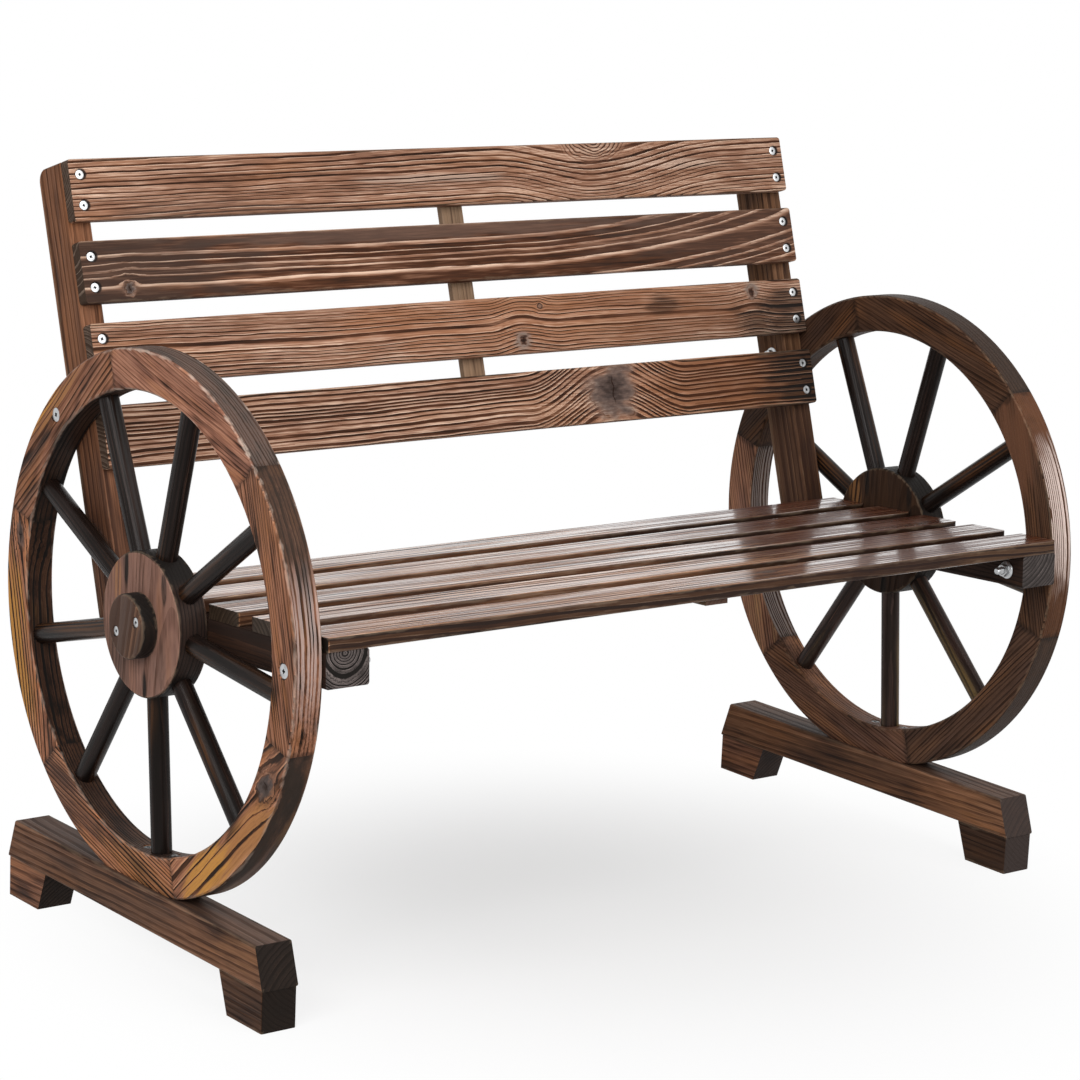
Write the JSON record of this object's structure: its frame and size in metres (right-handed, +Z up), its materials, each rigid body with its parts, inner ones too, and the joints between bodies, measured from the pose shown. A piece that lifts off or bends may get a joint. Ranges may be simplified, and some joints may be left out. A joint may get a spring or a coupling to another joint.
{
  "type": "wagon wheel bench",
  "caption": "Slatted garden bench of dark fired softwood, its seat and leaning back carried between spoked wagon wheels that stand on footed base beams.",
  "frame": {"origin": "on the floor under the middle of the bench's bounding box", "axes": "+X along the seat to the sitter's left, +Z up, the front of the seat faces -Y"},
  "size_m": [1.105, 0.5728, 0.8145],
  "materials": {
    "slat_wood": "fired and brushed softwood under satin varnish, strong dark grain",
    "rim_wood": "fired and brushed softwood under satin varnish, bright heartwood streaks",
    "spoke_wood": "turned softwood, nearly black brown stain, satin",
    "hub_wood": "glued softwood block, face grain brown, rim nearly black",
    "frame_wood": "fired softwood, dark brown satin varnish",
    "zinc_steel": "bright zinc plate"
  },
  "bodies": {
    "root": {"back_batten": "frame_wood", "back_slat_1": "slat_wood", "back_slat_2": "slat_wood", "back_slat_3": "slat_wood", "back_slat_4": "slat_wood", "base_screws": "zinc_steel", "batten_screws": "zinc_steel", "frame_bolts": "zinc_steel", "frame_nuts": "zinc_steel", "left_back_post": "frame_wood", "left_base_beam": "frame_wood", "left_felloe_1": "rim_wood", "left_felloe_2": "rim_wood", "left_felloe_3": "rim_wood", "left_felloe_4": "rim_wood", "left_felloe_5": "rim_wood", "left_felloe_6": "rim_wood", "left_front_foot": "frame_wood", "left_hub": "hub_wood", "left_hub_cap": "hub_wood", "left_rear_foot": "frame_wood", "left_seat_rail": "frame_wood", "left_spoke_1": "spoke_wood", "left_spoke_2": "spoke_wood", "left_spoke_3": "spoke_wood", "left_spoke_4": "spoke_wood", "left_spoke_5": "spoke_wood", "left_spoke_6": "spoke_wood", "left_spoke_7": "spoke_wood", "left_spoke_8": "spoke_wood", "left_spoke_9": "spoke_wood", "right_back_post": "frame_wood", "right_base_beam": "frame_wood", "right_felloe_1": "rim_wood", "right_felloe_2": "rim_wood", "right_felloe_3": "rim_wood", "right_felloe_4": "rim_wood", "right_felloe_5": "rim_wood", "right_felloe_6": "rim_wood", "right_front_foot": "frame_wood", "right_hub": "hub_wood", "right_hub_cap": "hub_wood", "right_rear_foot": "frame_wood", "right_seat_rail": "frame_wood", "right_spoke_1": "spoke_wood", "right_spoke_2": "spoke_wood", "right_spoke_3": "spoke_wood", "right_spoke_4": "spoke_wood", "right_spoke_5": "spoke_wood", "right_spoke_6": "spoke_wood", "right_spoke_7": "spoke_wood", "right_spoke_8": "spoke_wood", "right_spoke_9": "spoke_wood", "seat_batten": "frame_wood", "seat_slat_1": "slat_wood", "seat_slat_2": "slat_wood", "seat_slat_3": "slat_wood", "seat_slat_4": "slat_wood", "seat_slat_5": "slat_wood", "wood_screws": "zinc_steel"}
  },
  "joints": []
}
